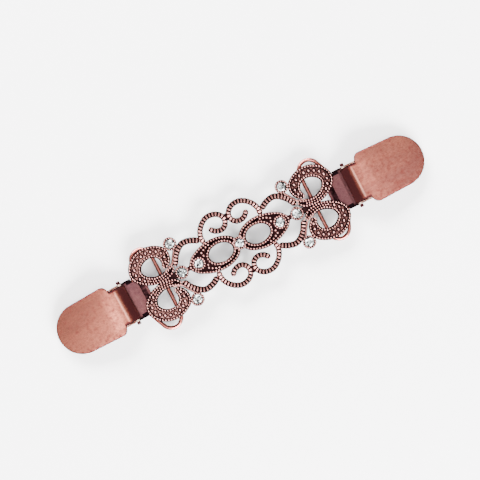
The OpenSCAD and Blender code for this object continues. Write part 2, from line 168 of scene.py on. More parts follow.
def make_piece(name, shape, body, material, sharp=50):
    """An object at the origin from a shape in millimetres. Points that coincide are merged, the
    faces are turned outwards, and edges of more than `sharp` degrees stay sharp."""
    points, faces, shade = shape
    mesh = bpy.data.meshes.new(name)
    mesh.from_pydata((points * MM).tolist(), [], faces.tolist())
    mesh.attributes.new("patina", "FLOAT", "POINT").data.foreach_set("value", shade.astype("f"))
    b = bmesh.new()
    b.from_mesh(mesh)
    bmesh.ops.remove_doubles(b, verts=b.verts, dist=1e-7)
    bmesh.ops.recalc_face_normals(b, faces=b.faces)
    b.to_mesh(mesh)
    b.free()
    mesh.shade_smooth()
    mesh.set_sharp_from_angle(angle=math.radians(sharp))
    mesh.materials.append(material)
    piece = in_scene(name, mesh)
    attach(piece, body)
    print(name, len(mesh.polygons), "faces")
    return piece


# %% [markdown]
# ## Antique copper
# Antique copper is plated, blackened, and then rubbed bright where a cloth reaches. So the
# colour depends on depth: crests are pink and bright, flanks are brown, and pits are black.
# One node group turns the patina value, broken up by noise, into that colour and a roughness.
# The casting, the levers and the clip bodies all use it with their own colours.

# %% Node helpers
def linear(red, green, blue):
    """Colour seen on the screen, 0 to 255, as the linear values that a shader takes."""
    share = np.array([red, green, blue]) / 255
    low, high = share / 12.92, ((share + 0.055) / 1.055) ** 2.4
    return (*np.where(share <= 0.04045, low, high), 1.0)


def node(tree, kind, values=None, **settings):
    """A node with its settings, and with values or links for its inputs."""
    made = tree.nodes.new(kind)
    for key, value in settings.items():
        setattr(made, key, value)
    for key, value in (values or {}).items():
        if isinstance(value, bpy.types.NodeSocket):
            tree.links.new(value, made.inputs[key])
        else:
            made.inputs[key].default_value = value
    return made


def new_material(name):
    """A material, its node tree and its shader."""
    made = bpy.data.materials.new(name)
    made.use_nodes = True
    return made, made.node_tree, made.node_tree.nodes["Principled BSDF"]


def maths(tree, first, second, operation="ADD", **settings):
    """Result of a Math node, which adds unless it is told otherwise."""
    return node(tree, "ShaderNodeMath", {0: first, 1: second}, operation=operation, **settings).outputs[0]


def mixed(tree, factor, first, second):
    """Colour between two colours."""
    made = node(tree, "ShaderNodeMix", {0: factor, 6: first, 7: second}, data_type="RGBA")
    return made.outputs[2]


def ranged(tree, value, start, end, low, high):
    """Value that goes from low to high while the given one goes from start to end."""
    return node(tree, "ShaderNodeMapRange", {0: value, 1: start, 2: end, 3: low, 4: high}).outputs[0]


def first_of(tree, kind):
    """The first node of a kind."""
    return next(n for n in tree.nodes if n.type == kind)


def group(name, inputs, outputs):
    """An empty node group with its sockets, and its input and output nodes."""
    tree = bpy.data.node_groups.new(name, "ShaderNodeTree")
    for label, kind, value in inputs:
        socket = tree.interface.new_socket(label, in_out="INPUT", socket_type="NodeSocket" + kind)
        if value is not None:
            socket.default_value = value
    for label, kind in outputs:
        tree.interface.new_socket(label, in_out="OUTPUT", socket_type="NodeSocket" + kind)
    return tree, tree.nodes.new("NodeGroupInput").outputs, tree.nodes.new("NodeGroupOutput").inputs


# %% The shared patina group
patina_group, given, result = group(
    "patina",
    [("Vector", "Vector", None), ("Patina", "Float", 0.0), ("Crest", "Color", (1, 1, 1, 1)),
     ("Flank", "Color", (0.5, 0.5, 0.5, 1)), ("Recess", "Color", (0, 0, 0, 1)),
     ("Mottle", "Float", 0.3), ("Scale", "Float", 900.0)],
    [("Color", "Color"), ("Roughness", "Float"), ("Height", "Float")])
blotches = node(patina_group, "ShaderNodeTexNoise",
                {"Vector": given["Vector"], "Scale": given["Scale"], "Detail": 4.0, "Roughness": 0.6})
grain = node(patina_group, "ShaderNodeTexNoise",
             {"Vector": given["Vector"], "Scale": 6000.0, "Detail": 2.0})
around_zero = maths(patina_group, blotches.outputs[0], 0.5, "SUBTRACT")
spread = maths(patina_group, around_zero, given["Mottle"], "MULTIPLY")
uneven = maths(patina_group, spread, given["Patina"], use_clamp=True)
# The lower half of the value leads from crest to flank, and the upper half from flank to recess
lower = maths(patina_group, uneven, 2.0, "MULTIPLY", use_clamp=True)
doubled = maths(patina_group, uneven, 2.0, "MULTIPLY")
upper = maths(patina_group, doubled, 1.0, "SUBTRACT", use_clamp=True)
worn = mixed(patina_group, lower, given["Crest"], given["Flank"])
patina_group.links.new(mixed(patina_group, upper, worn, given["Recess"]), result["Color"])
CREST_ROUGH, RECESS_ROUGH = 0.26, 0.62
rough = ranged(patina_group, uneven, 0.0, 1.0, CREST_ROUGH, RECESS_ROUGH)
patina_group.links.new(rough, result["Roughness"])
patina_group.links.new(grain.outputs[0], result["Height"])
print("patina group:", len(patina_group.nodes), "nodes")


# %% The shared brushing group
# Fine scratches: noise on coordinates that a Mapping node has stretched along the brush's way.
brush_group, given, result = group(
    "brushing",
    [("Vector", "Vector", None), ("Fine", "Float", 3000.0)],
    [("Scratch", "Float"), ("Cloud", "Float")])
scratch = node(brush_group, "ShaderNodeTexNoise",
               {"Vector": given["Vector"], "Scale": given["Fine"], "Detail": 3.0, "Roughness": 0.7})
cloud = node(brush_group, "ShaderNodeTexNoise",
             {"Vector": given["Vector"], "Scale": 60.0, "Detail": 5.0, "Roughness": 0.55})
brush_group.links.new(scratch.outputs[0], result["Scratch"])
brush_group.links.new(cloud.outputs[0], result["Cloud"])


# %% Copper materials
# Tint of what the metal mirrors at a low angle: dark on cast and drawn metal, and less so on
# smooth sheet
CAST_EDGE, SHEET_EDGE = (0.25, 0.14, 0.12, 1), (0.55, 0.48, 0.46, 1)
# Height of the metal's ripples, in metres
RIPPLE = 0.00005


def copper(name, crest, flank, recess, mottle, scale, lift=0.0, rough=0.0, bump=0.04, edge=CAST_EDGE):
    """Antique copper: the patina group on the piece's own patina value plus `lift`. `rough` is added
    to its roughness."""
    made, tree, shader = new_material(name)
    place = node(tree, "ShaderNodeTexCoord").outputs["Object"]
    depth = node(tree, "ShaderNodeAttribute", attribute_name="patina").outputs["Fac"]
    tone = node(tree, "ShaderNodeGroup", node_tree=patina_group)
    for label, value in (("Crest", crest), ("Flank", flank), ("Recess", recess),
                         ("Mottle", mottle), ("Scale", scale)):
        tone.inputs[label].default_value = value
    tree.links.new(place, tone.inputs["Vector"])
    tree.links.new(maths(tree, depth, lift), tone.inputs["Patina"])
    tree.links.new(tone.outputs["Color"], shader.inputs["Base Color"])
    tree.links.new(maths(tree, tone.outputs["Roughness"], rough, use_clamp=True),
                   shader.inputs["Roughness"])
    ripple = node(tree, "ShaderNodeBump", {"Height": tone.outputs["Height"], "Distance": RIPPLE,
                                           "Strength": bump})
    tree.links.new(ripple.outputs[0], shader.inputs["Normal"])
    shader.inputs["Metallic"].default_value = 1.0
    shader.inputs["Specular Tint"].default_value = edge
    return made


casting_copper = copper("casting_copper", linear(200, 139, 131), linear(56, 33, 33),
                        linear(14, 5, 7), mottle=0.3, scale=700.0)
wire_copper = copper("wire_copper", linear(194, 116, 106), linear(128, 70, 64),
                     linear(44, 18, 18), mottle=0.25, scale=350.0, rough=-0.06)
pin_copper = copper("pin_copper", linear(130, 78, 76), linear(70, 36, 38), linear(24, 10, 12),
                    mottle=0.4, scale=500.0, lift=0.55)

# The wire has no patina values of its own. It is bright where it faces up or down, and its sides are painted
# dark as shade.
wire_tree = wire_copper.node_tree
wire_normal = first_of(wire_tree, "TEX_COORD").outputs["Normal"]
facing = node(wire_tree, "ShaderNodeSeparateXYZ", {0: wire_normal})
flat_share = maths(wire_tree, facing.outputs["Z"], 0.0, "ABSOLUTE")
painted_side_shade = ranged(wire_tree, flat_share, 0.3, 0.9, 1.1, 0.1)
wire_tree.links.new(painted_side_shade, first_of(wire_tree, "GROUP").inputs["Patina"])


def cast_piece(name, shape):
    """A piece of the ornament's casting."""
    return make_piece(name, shape, "ornament", casting_copper)


# %% [markdown]
# ## The end loops
# Each end loop is a cast band that coils like a comma: a crescent tip lies against the band's own
# tail, which runs on to the stone on the middle line. A torus could not do this, so the band is
# carried along two rows of beads, one inside and one outside. The rows come from one short table.

# %% Heights and the table of the loop's two rows
# Heights of the casting's back, of the grooves beside the beads, of the field between the rows,
# and of the seat under the beads
BACK, GROOVE, FIELD, SEAT = 2.95, 4.02, 4.24, 4.34
# Inner row x, y and outer row x, y, from the crescent's tip round to the tail
LOOP_ROWS = np.array([
    (27.0, 4.55, 26.8, 4.2), (26.6, 5.4, 25.7, 4.3), (26.4, 6.4, 24.25, 5.9),
    (26.6, 7.7, 23.72, 8.0), (27.4, 8.9, 24.4, 10.3), (28.8, 9.7, 26.8, 12.05),
    (30.4, 9.9, 30.0, 12.95), (32.2, 9.6, 33.4, 12.55), (33.9, 8.55, 36.3, 10.85),
    (34.9, 7.2, 38.0, 8.4), (35.0, 5.8, 38.25, 5.7), (34.3, 4.2, 36.85, 3.45),
    (32.8, 3.0, 34.2, 1.6), (31.0, 2.25, 31.5, 0.6), (29.2, 2.08, 29.0, 0.4),
    (27.2, 2.42, 27.0, 0.66), (25.6, 2.95, 25.3, 1.35), (24.3, 3.5, 24.1, 2.75)])
# Cross-section from the inner edge to the middle: distance from the edge, height, patina
BAND = np.array([
    (0.0, BACK, 0.75), (0.0, 3.55, 0.8), (0.03, 4.0, 1.1), (0.16, 4.2, 1.1), (0.32, SEAT, 1.1),
    (0.56, SEAT, 1.1), (0.82, 4.26, 1.1), (0.98, GROOVE, 1.1), (1.12, 4.1, 0.9), (1.28, FIELD, 0.55)])
# How far the band reaches beyond its inner and its outer row of beads
INNER_LIP, OUTER_LIP = 0.66, 0.55


def band(inner, outer, closed=False, section=BAND, columns=0):
    """Cast band between two rows of beads: at each place along it, the section's distances are
    laid off from both edges, shrunk where the band is narrow, and its heights are kept. Extra
    columns of points may divide the field in the middle."""
    across = outer - inner
    width = np.linalg.norm(across, axis=1)[:, None]
    across = across / width
    near, far = inner - across * INNER_LIP, outer + across * OUTER_LIP
    shrink = np.minimum(1, (width + INNER_LIP + OUTER_LIP) / (2 * section[-1, 0]))
    step = (shrink * section[:, 0])[:, :, None]
    near_side = near[:, None] + across[:, None] * step
    far_side = (far[:, None] - across[:, None] * step)[:, ::-1]
    share = np.linspace(0, 1, columns + 2)[1:-1, None]
    field = near_side[:, -1:] * (1 - share) + far_side[:, :1] * share
    flat = np.concatenate([near_side, field, far_side], 1)
    rise, shade = (np.concatenate([section[:, k], np.full(columns, section[-1, k]), section[::-1, k]])
                   for k in (1, 2))
    height = np.broadcast_to(rise[None, :, None], (*flat.shape[:2], 1))
    points = np.concatenate([flat, height], 2)
    if closed:
        return grid_shape(points, shade, rows_join=True, cols_join=True)
    return grid_shape(with_poles(points), shade, cols_join=True)


LOOP_STEPS = 10
loop_lines = smooth_curve(LOOP_ROWS, steps=LOOP_STEPS)
loop_inner, loop_outer = loop_lines[:, :2], loop_lines[:, 2:]
loop_band = band(loop_inner, loop_outer, columns=8)
print("loop band:", len(loop_band[1]), "faces")

# %% [markdown]
# ## Milgrain
# Milgrain is a row of tiny grains raised along a metal edge. Each grain here is a small sphere
# sunk about to its waist, dark at its foot and bright on top, where polishing reaches it.
# The rows are laid at equal distances along the band's own curves, so they follow its form.

# %% Grains
GRAIN_SIDES, GRAIN_RINGS = 10, 7
# Patina of a grain's foot, and the shares of its radius between which it grows bright
GRAIN_DARK, GRAIN_LOW, GRAIN_HIGH = 1.2, 0.48, 0.98


def grains(centres, radius):
    """Spheres at the centres: a ring of sides at each of several angles from bottom to top."""
    tilt = np.linspace(-math.pi / 2, math.pi / 2, GRAIN_RINGS)[:, None]
    turn = np.linspace(0, 2 * math.pi, GRAIN_SIDES, endpoint=False)[None]
    unit = np.stack([np.cos(tilt) * np.cos(turn), np.cos(tilt) * np.sin(turn),
                     np.sin(tilt) + 0 * turn], -1)
    shade = GRAIN_DARK - GRAIN_DARK * smooth_step(GRAIN_LOW, GRAIN_HIGH, np.sin(tilt))
    return joined([grid_shape(centre + unit * radius, shade, cols_join=True) for centre in centres])


def raised(row, height):
    """Places of a row, with their height."""
    return np.column_stack([row, np.full(len(row), height)])


BEAD_Z = SEAT + 0.1
INNER_GRAIN_R, OUTER_GRAIN_R, TAIL_GRAIN_R, DOME_R = 0.4, 0.41, 0.34, 0.56


def bead_row(row, count, radius, closed=False):
    """Grains at equal distances along a row, on the band's seat."""
    return grains(raised(evenly(row, count, closed), BEAD_Z), radius)


# Domes run along the band's middle, and smaller grains along its tail. The domes start at a point
# of the middle line, and the other places are rows of the table.
DOMES_START, DOMES_END, TAIL_START, TAIL_END = 17, 11.4, 12.2, 15.2
loop_middle = (loop_inner + loop_outer) / 2
spans = lengths_along(loop_middle)
domes_end, tail_start, tail_end = np.interp([DOMES_END, TAIL_START, TAIL_END],
                                            np.arange(len(LOOP_ROWS)), spans[::LOOP_STEPS])
dome_places = part_of(loop_middle, spans[DOMES_START], domes_end, count=13)
tail_places = part_of(loop_middle, tail_start, tail_end, count=8)

# Patina of what stays black, and of the rubbed field: the loops on the left are painted paler, as painted
# light falling from the left
BLACK_PATINA_AND_SHADE = 1.1
RUBBED_AND_SIDE_LIT = {RIGHT: 0.42, LEFT: 0.28}
# Width of the black ring round each dome, the share of it that is wholly black, and the distances
# from a dome between which the band's tail grows dark
RING_W, RING_SOLID = 0.3, 0.4
TAIL_NEAR, TAIL_FAR = 1.4, 1.9


def ringed(shape, centres, rubbed_and_lit):
    """The band's shape with its field rubbed pink near the centres, apart from a black ring round each of
    them. How pale the rubbed field is also carries painted light, paler on the left."""
    points, faces, shade = shape
    apart = np.linalg.norm(points[:, None, :2] - centres[None], axis=2).min(1)
    ring = 1 - smooth_step(DOME_R + RING_SOLID * RING_W, DOME_R + RING_W, apart)
    dark = np.maximum(ring, smooth_step(TAIL_NEAR, TAIL_FAR, apart))
    tone = rubbed_and_lit + (BLACK_PATINA_AND_SHADE - rubbed_and_lit) * dark
    return points, faces, np.where(points[:, 2] == FIELD, tone, shade)


loop_grains = joined([bead_row(loop_inner, 31, INNER_GRAIN_R),
                      bead_row(loop_outer, 45, OUTER_GRAIN_R),
                      grains(raised(dome_places, FIELD - 0.02), DOME_R),
                      grains(raised(tail_places, FIELD), TAIL_GRAIN_R)])
loop_pairs = [reflected(joined([ringed(loop_band, dome_places, rubbed_and_lit), loop_grains]),
                        [(side, 1), (side, -1)]) for side, rubbed_and_lit in RUBBED_AND_SIDE_LIT.items()]
end_loops = cast_piece("end_loops", joined(loop_pairs))

# %% [markdown]
# ## The eyes
# Each eye is a pointed oval with an oval opening and a stone at its tip. Two beaded rows run
# round it, with a black crescent sunk between them. The same band does this, closed on itself:
# the outer row follows a table, and the inner row is an ellipse met by rays from its middle.

# %% Eye bands
# Upper half of the outer row, from the tip to the centre stone
EYE_ROW = np.array([
    (18.7, 0.0), (18.3, 1.15), (16.85, 2.72), (14.9, 3.82), (12.95, 4.58), (11.0, 5.04),
    (9.0, 5.2), (7.0, 5.1), (5.0, 4.66), (3.1, 3.86), (1.6, 2.66), (1.05, 1.25)])
# Middle and half axes of the inner row's ellipse
EYE_MIDDLE = np.array([7.1, 0.0])
EYE_ROW_AXES = np.array([5.05, 3.76])
# The loop's cross-section, with the field sunk to a black crescent
EYE_BAND = BAND.copy()
EYE_BAND[-3:, 1:] = [(3.8, 1.0), (3.72, 1.0), (3.7, 1.0)]

eye_curve = smooth_curve(np.vstack([EYE_ROW, EYE_ROW[:0:-1] * [1, -1]]), closed=True)
eye_outer = evenly(eye_curve, 150, closed=True)
ray = eye_outer - EYE_MIDDLE
reach = 1 / np.linalg.norm(ray / EYE_ROW_AXES, axis=1)[:, None]
eye_inner = EYE_MIDDLE + ray * reach
eye_band = band(eye_inner, eye_outer, closed=True, section=EYE_BAND)

# %% Eye grains and the field round the tip's stone
# Upper half of the grains that stand between the rows, with their height and radius
EYE_EXTRA = np.array([(9.9, 4.28), (11.05, 4.0), (12.15, 3.5), (13.2, 2.85), (12.95, 1.75)])
EXTRA_Z, EXTRA_R = 4.26, 0.42
# Upper half of the field's outline
TIP_FIELD = np.array([(18.3, 0), (16.6, 2.7), (14.4, 3.9), (12.6, 4.3), (11.0, 3.6), (11.9, 1.9), (12.2, 0)])


def plate(outline, top, shade):
    """Flat-backed plate inside an outline, with a rounded upper edge."""
    centre = outline.mean(0)
    scale = np.array([0, 1, 1, 0.985, 0.95, 0.5, 0])
    height = np.array([BACK, BACK, top - 0.15, top - 0.04, top, top, top])
    flat = centre + (outline - centre)[None] * scale[:, None, None]
    points = np.concatenate([flat, np.broadcast_to(height[:, None, None], (*flat.shape[:2], 1))], 2)
    return grid_shape(points, shade, cols_join=True)


tip_curve = smooth_curve(np.vstack([TIP_FIELD, TIP_FIELD[-2:0:-1] * [1, -1]]), closed=True)
eye_shape = joined([
    eye_band,
    plate(evenly(tip_curve, 60, closed=True), top=4.12, shade=0.9),
    bead_row(eye_outer, 44, OUTER_GRAIN_R, closed=True),
    bead_row(eye_inner, 28, INNER_GRAIN_R, closed=True),
    grains(raised(np.vstack([EYE_EXTRA, EYE_EXTRA * [1, -1]]), EXTRA_Z), EXTRA_R)])
eyes = cast_piece("eyes", reflected(eye_shape, TWO))

# %% [markdown]
# ## Ropes
# The scrolls and arches are cast ropes: a strap with a rim on each side and rungs across it, and
# a black pit between one rung and the next. A screw of twisted wire would not look like this from
# above, so the strap is one carried section, and a cosine along its length sinks the pits.

# %% Carried ropes
SCROLL = [
    (10.8, 5.32), (11.04, 7.42), (10.32, 9.66), (8.88, 11.48), (6.96, 12.74), (5.04, 13.09),
    (3.0, 12.6), (1.5, 11.34), (0.96, 9.8), (1.32, 8.26), (2.4, 7.21), (3.9, 6.86),
    (5.4, 7.28), (6.48, 8.26), (6.96, 9.31)]
ARCH = [
    (11.87, 6.68), (12.69, 7.39), (14.1, 8.19), (15.63, 8.72), (17.27, 8.9), (18.8, 8.41),
    (20.45, 7.12), (21.74, 5.61), (22.56, 4.18), (23.27, 2.94)]
STRAP = [(20.94, 8.68), (21.87, 7.19), (22.89, 5.64), (23.82, 4.22), (25.31, 3.41), (27.0, 2.9)]
# Wanted length from one rung to the next, and the number of points in it
PITCH, RUNG_POINTS = 1.13, 9
# Values of the negative cosine between which a pit sinks, its patina, and how much rungs swell
PIT_LOW, PIT_HIGH, PIT_DARK, SWELL = -0.35, 0.45, 1.2, 0.035
# Least square of the strap's width at its very end, as a share
END_LEAST = 0.0025
# Across the strap: share of its half width, height, patina, share of the pit's depth
ROPE = np.array([
    (-1.0, BACK, 0.75, 0), (-1.0, 3.7, 0.8, 0), (-0.99, 4.2, 1.1, 0), (-0.9, 4.4, 0.85, 0.1),
    (-0.76, 4.5, 0.65, 0.5), (-0.6, 4.57, 0.35, 0.9), (-0.4, 4.61, 0.12, 1),
    (-0.2, 4.63, 0.02, 1), (0, 4.64, 0, 1)])
ROPE = np.vstack([ROPE, ROPE[-2::-1] * [-1, 1, 1, 1]])


def rope(points, width, pit=0.55, drop=0.0):
    """Strap carried along a curve with round ends. Its pits are a cosine of the length along it,
    cut off so that they are narrower than the rungs. `drop` lowers all but its back."""
    line = smooth_curve(points)
    total = lengths_along(line)[-1]
    rungs = round(total / PITCH)
    line = evenly(line, rungs * RUNG_POINTS + 1)
    s = np.linspace(0, total, len(line))
    wave = np.cos(2 * math.pi * s / total * rungs)
    dip = smooth_step(PIT_LOW, PIT_HIGH, -wave)
    from_end = np.minimum(s, total - s)
    half = width / 2
    round_end = np.sqrt(np.clip(1 - (1 - np.clip(from_end / half, 0, 1)) ** 2, END_LEAST, 1))
    half = half * round_end * (1 + SWELL * wave)
    aside = leftward(line)[:, None] * (half[:, None] * ROPE[:, 0])[:, :, None]
    flat = line[:, None] + aside
    sink = dip[:, None] * ROPE[:, 3]
    height = ROPE[:, 1] - drop * (ROPE[:, 1] > BACK) - pit * sink
    shade = ROPE[:, 2] + PIT_DARK * sink * bool(pit)
    grid = np.concatenate([flat, height[:, :, None]], 2)
    shade = np.vstack([shade[:1], shade, shade[-1:]])
    return grid_shape(with_poles(grid), shade, cols_join=True)


rope_shapes = [rope(SCROLL, width=1.9), rope(ARCH, width=2.15),
               rope(STRAP, width=0.8, pit=0.0, drop=0.3)]
ropes = cast_piece("ropes", reflected(joined(rope_shapes), FOUR))

# %% [markdown]
# ## Joins and lugs
# Small cast webs hold the scrolls together and fill the corner where the loops meet. They sit
# lower than the ropes and stay black. On the back, two lugs are bored for the rings' long bars.

# %% Webs
# Corners, top, patina and signs of each kind: between the scrolls, between the loops, and at an
# eye's tip
WEBS = [
    ([(-0.75, 8.7), (0.75, 8.7), (0.75, 11.3), (-0.75, 11.3)], 4.15, 0.95, [(1, 1), (1, -1)]),
    ([(24.1, -1.3), (27.6, -0.25), (27.6, 0.25), (24.1, 1.3)], 4.1, 0.85, TWO),
    ([(18.4, -0.8), (20.6, -0.8), (20.6, 0.8), (18.4, 0.8)], 4.3, 0.8, TWO)]
web_shapes = [reflected(plate(evenly(np.array(corners), 24, closed=True), top, shade), signs)
              for corners, top, shade, signs in WEBS]
webs = cast_piece("webs", joined(web_shapes))

# %% Bored lugs
# Place of a lug, half its thickness, its length and how far it reaches up into the casting, and
# its bore's radius and height
LUG_X, LUG_HALF, LUG_LONG, LUG_SUNK = 29.0, 1.3, 4.8, 0.6
BORE_R, BAR_Z = 0.7, 1.3
# Power that makes the square's corners round, and size of its ends within their rounded edges
SQUARENESS, LUG_END = 9, 0.93


def bored_lug(x):
    """Block with a bore along Y: a loop of four edges (bore and outside, at both ends) is carried
    round the bore, and the outside follows a square whose corners are slightly round."""
    a = np.radians(np.arange(0, 360, 7.5))
    square = np.stack([np.cos(a), np.sin(a)], 1)
    square /= (np.abs(square) ** SQUARENESS).sum(1)[:, None] ** (1 / SQUARENESS)
    outside = square * LUG_HALF
    taller = outside[:, 1] * (BACK + LUG_SUNK - BAR_Z) / LUG_HALF
    outside[:, 1] = np.where(outside[:, 1] > 0, taller, outside[:, 1])
    bore = np.stack([np.cos(a), np.sin(a)], 1) * BORE_R
    edge = outside * LUG_END
    loops = [(bore, -1), (edge, -1), (outside, -0.95), (outside, 0.95), (edge, 1), (bore, 1)]
    rows = [np.column_stack([x + flat[:, 0], np.full(len(a), end * LUG_LONG / 2), BAR_Z + flat[:, 1]])
            for flat, end in loops]
    return grid_shape(np.array(rows), 0.55, rows_join=True, cols_join=True)


lugs = cast_piece("lugs", joined([bored_lug(LUG_X), bored_lug(-LUG_X)]))

# %% [markdown]
# ## Stone cups
# Each stone sits in a round cup, ringed by a row of grains. The cup is a turned profile.

# %% Cups
STONES = np.array([(0, 0), (15.6, 0), (-15.6, 0), (22.1, 0), (-22.1, 0),
                   (21.5, 10.6), (-21.5, 10.6), (-21.5, -10.6), (21.5, -10.6)])
# Radius and height of the cup's profile from the middle of its back, and the patina there
CUP = np.array([(0, BACK), (2.1, BACK), (2.32, 3.05), (2.36, 4.2), (2.28, 4.42), (2.1, 4.5), (1.8, 4.6),
                (1.68, 4.74), (1.6, 4.72), (1.6, 4.0), (0, 3.4)])
CUP_SHADE = np.array([0.75, 0.75, 0.8, 1.1, 1.1, 1.1, 1.1, 0.7, 0.8, 1, 1])
CUP_SIDES = 40
# Radius and height of the row of grains, their number and their radius
RIM_R, RIM_Z, RIM_GRAINS, RIM_GRAIN_R = 2.02, 4.62, 15, 0.36


def cup(place):
    """The cup's profile, turned about an upright axis at a place."""
    a = np.linspace(0, 2 * math.pi, CUP_SIDES, endpoint=False)
    r, z = CUP[:, :1], CUP[:, 1:]
    points = np.stack([place[0] + r * np.cos(a), place[1] + r * np.sin(a), z + 0 * a], -1)
    return grid_shape(points, CUP_SHADE[:, None], cols_join=True)


def cup_row(place):
    """Grains at equal distances on a circle round a cup."""
    a = np.radians(np.linspace(0, 360, RIM_GRAINS, endpoint=False))
    circle = place + RIM_R * np.stack([np.cos(a), np.sin(a)], 1)
    return grains(raised(circle, RIM_Z), RIM_GRAIN_R)


cup_shapes = [make(place) for make in (cup, cup_row) for place in STONES]
cups = cast_piece("cups", joined(cup_shapes))
for piece in (end_loops, eyes, ropes, webs, lugs, cups):
    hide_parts("filigree")

# %% [markdown]
# ## Cut stones
# A brilliant has a table, eight stars, eight kites and sixteen small facets above its girdle. The stones are
# taken to be foiled, and each facet is painted a tone of its own, from near black to near white, as painted
# sparkle that stands in for light coming out of some facets and lost in others. Real refraction would need
# far more samples to sparkle so.

# %% Facets
TABLE_R, STAR_R, GIRDLE_R = 0.9, 1.18, 1.54
TABLE_Z, STAR_Z, GIRDLE_Z, CULET_Z = 5.32, 5.14, 4.8, 3.7
# Numbers of the points after the four rings of eight, and how many points a stone has
TABLE_POINT, CULET_POINT, STONE_POINTS = 32, 33, 34
# Each stone is turned by this many degrees more than the one before it
STONE_TURN = 17
sparkle_draws = np.random.default_rng(5)


def cut_stone(place, turn):
    """Points, facets and the painted sparkle tones of the facets, for one stone. The rings of points are the
    table's corners, the stars' points, and the girdle's points below each of them."""
    a = np.radians(45 * np.arange(8) + turn)
    half = math.radians(22.5)
    ring = lambda r, z, shift: np.column_stack([r * np.cos(a + shift), r * np.sin(a + shift), np.full(8, z)])
    points = np.vstack([ring(TABLE_R, TABLE_Z, 0), ring(STAR_R, STAR_Z, half), ring(GIRDLE_R, GIRDLE_Z, 0),
                        ring(GIRDLE_R, GIRDLE_Z, half), [(0, 0, TABLE_Z), (0, 0, CULET_Z)]])
    facets = []
    for k in range(8):
        n = (k + 1) % 8
        facets += [(TABLE_POINT, k, n), (k, 8 + k, n), (k, 8 + (k - 1) % 8, 16 + k, 8 + k),
                   (8 + k, 16 + k, 24 + k), (8 + k, 24 + k, 16 + n),
                   (CULET_POINT, 24 + k, 16 + k), (CULET_POINT, 16 + n, 24 + k)]
    painted_sparkle = sparkle_draws.choice([0.0, 0.05, 0.25, 1.0], len(facets))
    # The table's facets, the first of each seven, are painted darker than the others
    painted_sparkle[::7] = sparkle_draws.choice([0.0, 0.1, 0.3], 8)
    return points + [*place, 0], facets, painted_sparkle


gem_points, gem_facets, gem_sparkle = [], [], []
for number, place in enumerate(STONES):
    points, facets, tone = cut_stone(place, STONE_TURN * number)
    start = STONE_POINTS * number
    gem_points.append(points)
    gem_facets += [tuple(corner + start for corner in facet) for facet in facets]
    gem_sparkle.append(tone)
gem_mesh = bpy.data.meshes.new("gems")
gem_mesh.from_pydata((np.vstack(gem_points) * MM).tolist(), [], gem_facets)
sparkle_layer = gem_mesh.attributes.new("tone", "FLOAT", "FACE")
sparkle_layer.data.foreach_set("value", np.concatenate(gem_sparkle).astype("f"))
b = bmesh.new()
b.from_mesh(gem_mesh)
bmesh.ops.recalc_face_normals(b, faces=b.faces)
b.to_mesh(gem_mesh)
b.free()

crystal, crystal_tree, crystal_shader = new_material("crystal")
# The base colour runs from near black to near white with each facet's painted sparkle tone
painted_facet_sparkle = node(crystal_tree, "ShaderNodeAttribute", attribute_name="tone").outputs["Fac"]
crystal_tree.links.new(mixed(crystal_tree, painted_facet_sparkle, linear(10, 14, 13), linear(244, 250, 250)),
                       crystal_shader.inputs["Base Color"])
for label, value in (("Roughness", 0.04), ("IOR", 1.5)):
    crystal_shader.inputs[label].default_value = value
gem_mesh.materials.append(crystal)
gems = in_scene("gems", gem_mesh)
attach(gems, "ornament")
stones = [name for name in frame["nodes"] if name.startswith("stone_")]
for name in stones:
    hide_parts(name)
print("stones:", len(stones), "facets:", len(gem_facets))

# %% Rings
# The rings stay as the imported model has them, and only get the wire's finish
for side in ("left", "right"):
    slots = frame["nodes"]["ring_" + side].data.materials
    slots.clear()
    slots.append(wire_copper)

# %% [markdown]
# ## The levers
# A lever is one stamped sheet: a curl round the hinge pin, a steep face, a crease, and a crowned
# paddle whose rim is turned down so that no edge catches the wool. The sheet is worked out flat,
# as an outline round a middle line, and then laid on the bent line that the side view shows.

# %% The lever's side view
# Radius of the pin, gap round it, thickness of the sheet, and slope of the steep face in degrees
PIN_R, PIN_GAP, SHEET, FACE_SLOPE = 0.65, 0.05, 0.75, 45.0
CURL_R = PIN_R + PIN_GAP + SHEET
# Where the crease is, and its radius
CREASE_X, CREASE_R = 2.0, 0.9
# How steeply the paddle falls from the crease, how much steeper it grows over which length, and
# where it ends
SLOPE_START, SLOPE_MORE, SLOPE_LONG, REACH = 6.0, 8.0, 25, 26.9

line_start = (CURL_R - SHEET / 2) * np.array([-math.sin(math.radians(FACE_SLOPE)),
                                              math.cos(math.radians(FACE_SLOPE))])
bend_turn = FACE_SLOPE + SLOPE_START
face_long = ((CREASE_X - line_start[0]) / math.cos(math.radians(FACE_SLOPE))
             - CREASE_R * math.tan(math.radians(bend_turn / 2)))
bend_long = CREASE_R * math.radians(bend_turn)
# Lengths along the sheet, and its heading and its place at each of them
fine = np.linspace(0, 32, 3201)
heading = np.radians(np.where(
    fine < face_long, FACE_SLOPE,
    np.where(fine < face_long + bend_long, FACE_SLOPE - bend_turn * (fine - face_long) / bend_long,
             -SLOPE_START - SLOPE_MORE * np.clip((fine - face_long - bend_long) / SLOPE_LONG, 0, 1))))
fine_x = line_start[0] + np.concatenate([[0], np.cumsum(np.cos(heading[:-1]) * np.diff(fine))])
fine_z = line_start[1] + np.concatenate([[0], np.cumsum(np.sin(heading[:-1]) * np.diff(fine))])
sheet_long = np.interp(REACH, fine_x, fine)
print("lever sheet, flat length:", round(float(sheet_long), 2), "mm")


def lay_on_line(along, lift):
    """Side view x and z of points at a length along the bent line, lifted off it squarely."""
    slope = np.interp(along, fine, heading)
    x = np.interp(along, fine, fine_x) - np.sin(slope) * lift
    return x, np.interp(along, fine, fine_z) + np.cos(slope) * lift


